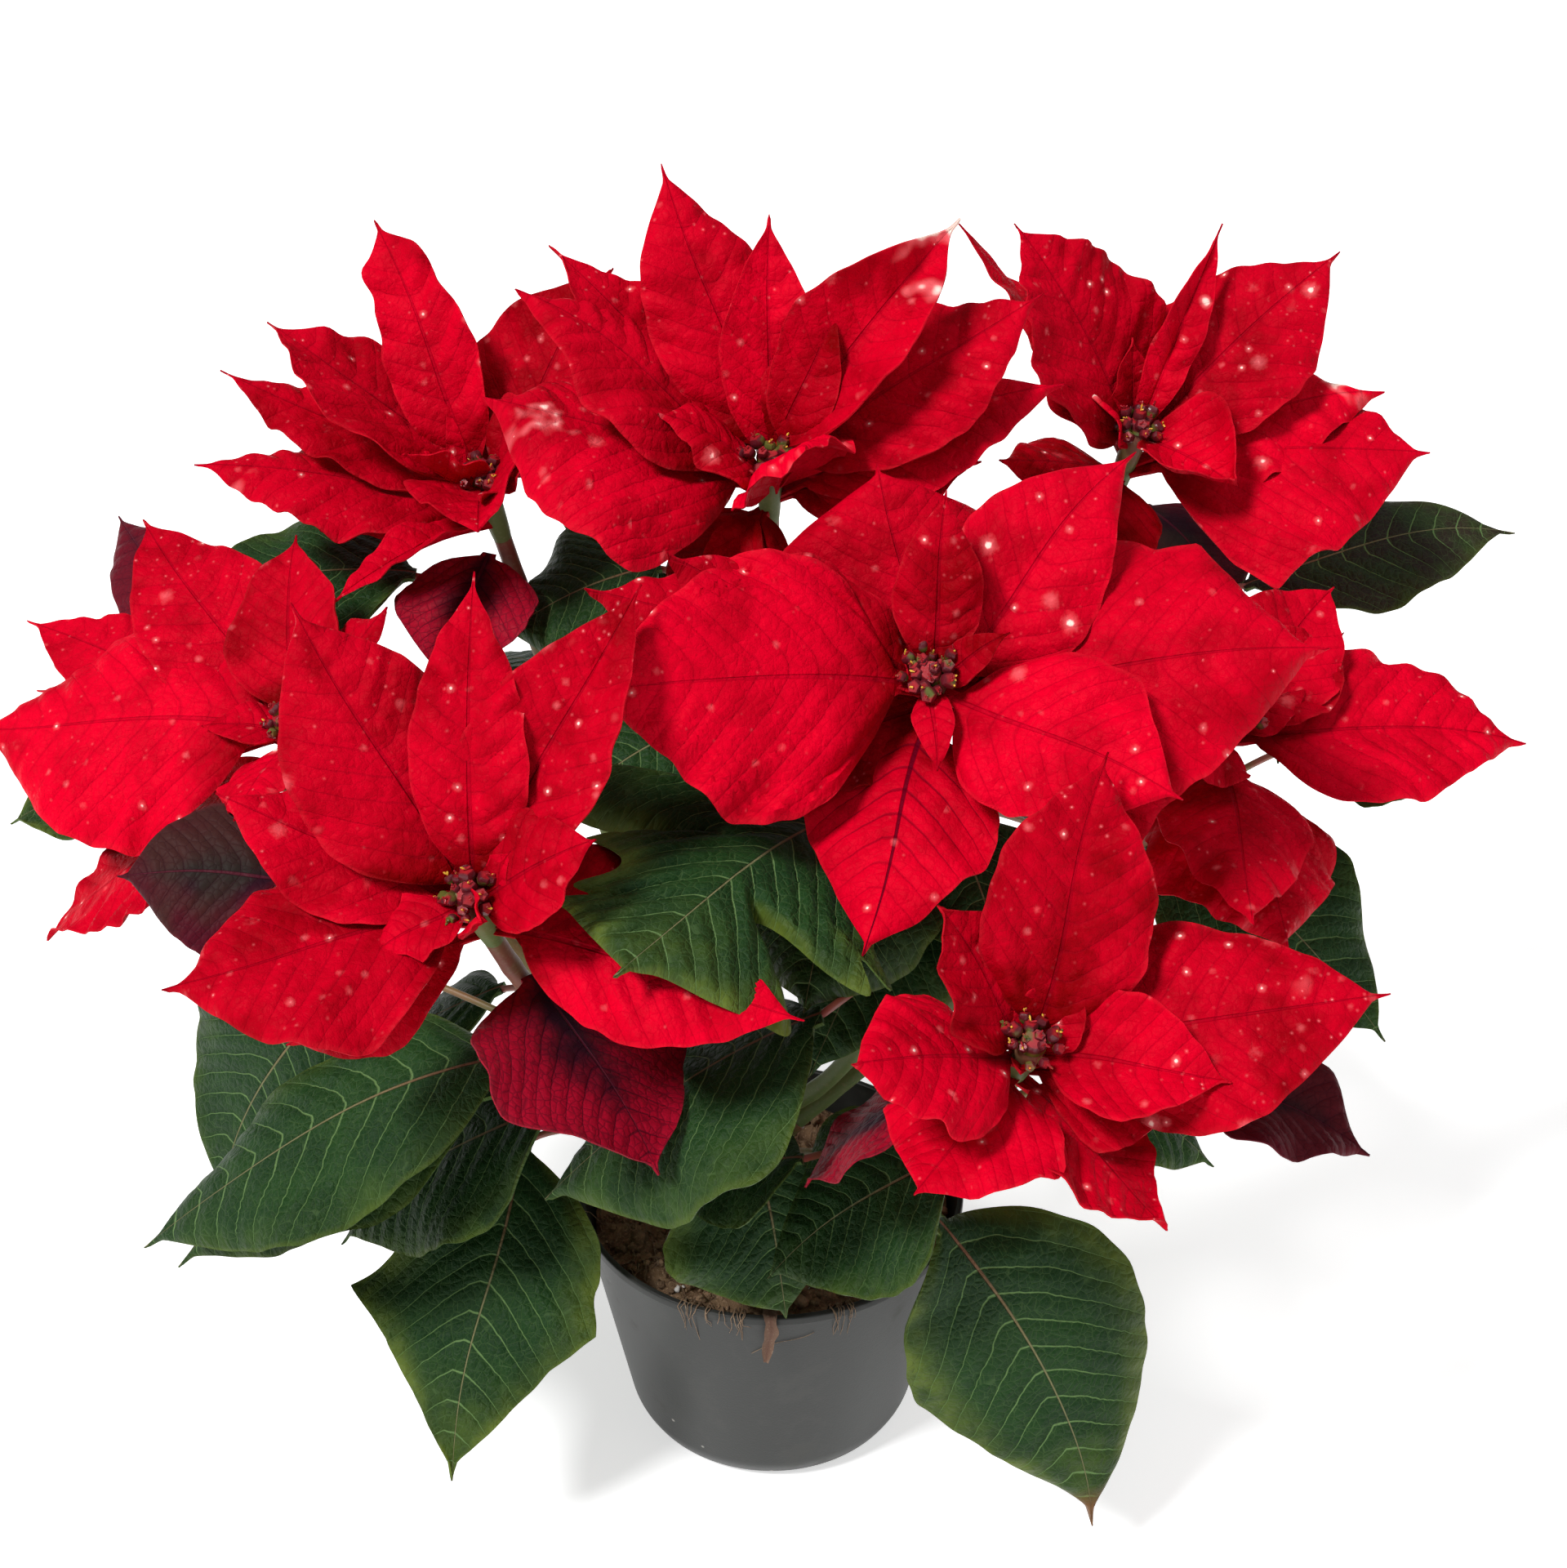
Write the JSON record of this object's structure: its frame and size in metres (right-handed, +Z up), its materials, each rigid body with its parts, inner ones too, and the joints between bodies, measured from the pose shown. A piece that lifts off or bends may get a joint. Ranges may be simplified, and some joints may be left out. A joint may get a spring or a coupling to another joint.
{
  "type": "potted poinsettia",
  "caption": "Poinsettia in a plain dark nursery pot: leafy shoots from one woody trunk, each ending in a bloom of red bracts round a bud cluster.",
  "frame": {"origin": "centre of the pot's underside, on the surface it stands on", "axes": "+Z up along the pot's axis; the plant's best side faces -Y; +X to the right as seen from there"},
  "size_m": [0.5164, 0.3529, 0.415],
  "materials": {
    "pot": "satin, slightly dusty injection-moulded plastic",
    "soil": "loose, fibrous peat with white grains",
    "dry_leaf": "dry, matte and fibrous",
    "stem": "woody below, matte",
    "leaf": "soft satin, veined",
    "bract": "velvety satin, veined",
    "bud": "waxy",
    "dark_leaf": "soft satin, veined"
  },
  "bodies": {
    "root": {"pot": "pot", "soil": "soil", "dry_strip": "dry_leaf", "trunk": "stem", "shoot_centre": "leaf", "shoot_front_left": "leaf", "shoot_front_right": "leaf", "shoot_back_left": "leaf", "shoot_back_middle": "leaf", "shoot_back_right": "leaf", "shoot_left": "leaf", "shoot_right": "leaf", "bracts_centre": "bract", "bracts_front_left": "bract", "bracts_front_right": "bract", "bracts_back_left": "bract", "bracts_back_middle": "bract", "bracts_back_right": "bract", "bracts_left": "bract", "bracts_right": "bract", "cyathia_centre": "bud", "cyathia_front_left": "bud", "cyathia_front_right": "bud", "cyathia_back_left": "bud", "cyathia_back_middle": "bud", "cyathia_back_right": "bud", "cyathia_left": "bud", "cyathia_right": "bud", "dark_leaf_front": "dark_leaf", "dark_leaf_inner": "dark_leaf", "dark_leaf_front_right": "dark_leaf", "dark_leaf_back_left": "dark_leaf", "dark_leaf_left": "dark_leaf", "dark_leaf_far_left": "dark_leaf", "dark_leaf_back_right": "dark_leaf"}
  },
  "joints": []
}
